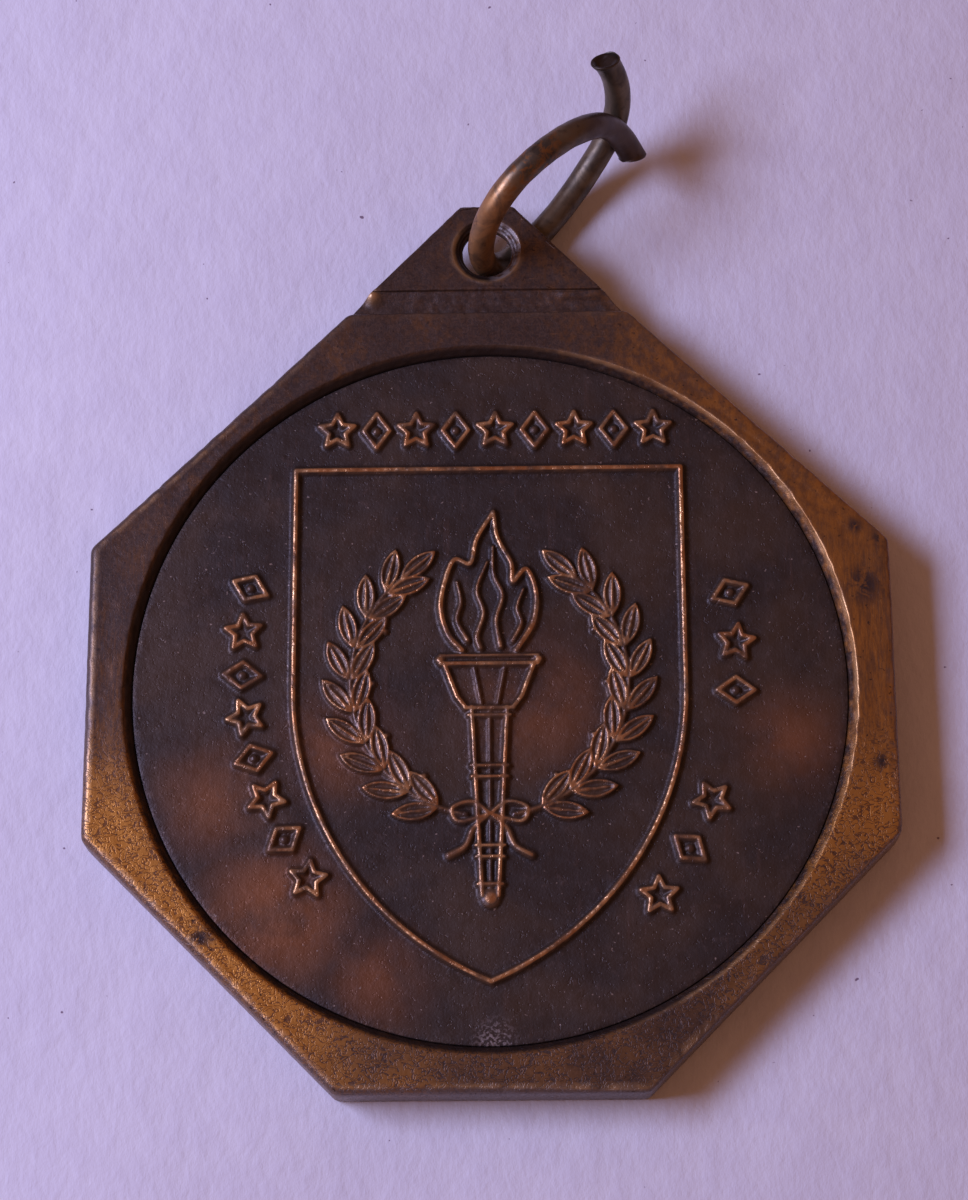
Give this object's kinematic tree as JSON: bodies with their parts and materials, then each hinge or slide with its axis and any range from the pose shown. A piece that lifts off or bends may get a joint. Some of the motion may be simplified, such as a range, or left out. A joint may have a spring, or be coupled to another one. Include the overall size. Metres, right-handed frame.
{
  "type": "finisher medal",
  "caption": "Octagonal bronze medal with a hanger ear, a round centre disc with a raised shield, torch and laurel, and an opened wire jump ring.",
  "frame": {"origin": "centre of the octagonal plate, on its flat back face", "axes": "+Z out of the front face, +Y from the plate's centre to the hanger ear, +X to the right as the face is read"},
  "size_m": [0.05, 0.0659, 0.0101],
  "materials": {
    "frame_bronze": "antique bronze, brushed, worn golden along its edges",
    "disc_bronze": "dark patinated bronze, rubbed to copper on the raised lines",
    "ring_wire": "dull plated wire, rubbed to copper in places"
  },
  "bodies": {
    "medal": {"octagon_frame": "frame_bronze", "centre_disc": "disc_bronze"},
    "ring": {"jump_ring": "ring_wire"}
  },
  "joints": [
    {"name": "ring_swing", "type": "hinge", "parent": "medal", "child": "ring", "pos_m": [0, 0.02925, 0.00265], "axis": [0, 0, 1], "range_deg": [-45, 145]}
  ]
}
